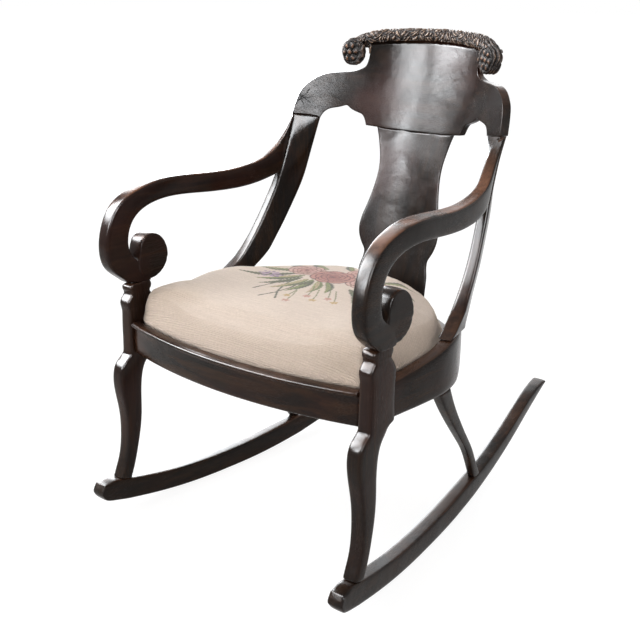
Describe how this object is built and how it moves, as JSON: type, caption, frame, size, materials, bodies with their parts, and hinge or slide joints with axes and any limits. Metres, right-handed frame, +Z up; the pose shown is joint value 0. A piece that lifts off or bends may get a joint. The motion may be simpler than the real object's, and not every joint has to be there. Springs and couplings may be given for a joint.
{
  "type": "rocking armchair",
  "caption": "Mahogany rocking armchair: long bow runners, arms that curl into scrolls, curved back with carved roll and vase splat, crowned drop-in needlework seat.",
  "frame": {"origin": "centre of the chair's bounding box, on the floor that the runners stand on", "axes": "+Z up, -Y the way the sitter faces, +X the sitter's left hand side, which is the right in a view from the front"},
  "size_m": [0.6062, 0.894, 0.903],
  "materials": {
    "mahogany": "dark stained mahogany under an old shellac polish",
    "crotch_veneer": "dark figured mahogany veneer under an old shellac polish",
    "carving": "carved mahogany, darker in the hollows and worn brown on the high parts",
    "secondary_wood": "unfinished hardwood",
    "jute": "plain jute",
    "hair": "curled hair under muslin",
    "needlework": "wool needlework on canvas, matt",
    "steel": "dull steel"
  },
  "bodies": {
    "chair": {"back_splat": "crotch_veneer", "crest_panel": "crotch_veneer", "crest_roll": "carving", "front_rail": "mahogany", "left_arm": "mahogany", "left_front_corner_block": "secondary_wood", "left_front_leg": "mahogany", "left_front_runner_screw": "steel", "left_rear_corner_block": "secondary_wood", "left_rear_leg": "mahogany", "left_rear_runner_screw": "steel", "left_runner": "mahogany", "left_side_rail": "mahogany", "left_stile": "mahogany", "rear_rail": "mahogany", "right_arm": "mahogany", "right_front_corner_block": "secondary_wood", "right_front_leg": "mahogany", "right_front_runner_screw": "steel", "right_rear_corner_block": "secondary_wood", "right_rear_leg": "mahogany", "right_rear_runner_screw": "steel", "right_runner": "mahogany", "right_side_rail": "mahogany", "right_stile": "mahogany", "splat_shoe": "mahogany", "splat_tongue": "mahogany"},
    "seat": {"seat_burlap": "jute", "seat_cover": "needlework", "seat_frame_front": "secondary_wood", "seat_frame_left": "secondary_wood", "seat_frame_rear": "secondary_wood", "seat_frame_right": "secondary_wood", "seat_padding": "hair", "webbing_cross_front": "jute", "webbing_cross_rear": "jute", "webbing_left": "jute", "webbing_middle": "jute", "webbing_right": "jute"}
  },
  "joints": [
    {"name": "seat_lift", "type": "slide", "parent": "chair", "child": "seat", "axis": [0, 0, 1], "range_m": [0, 0.12]}
  ]
}
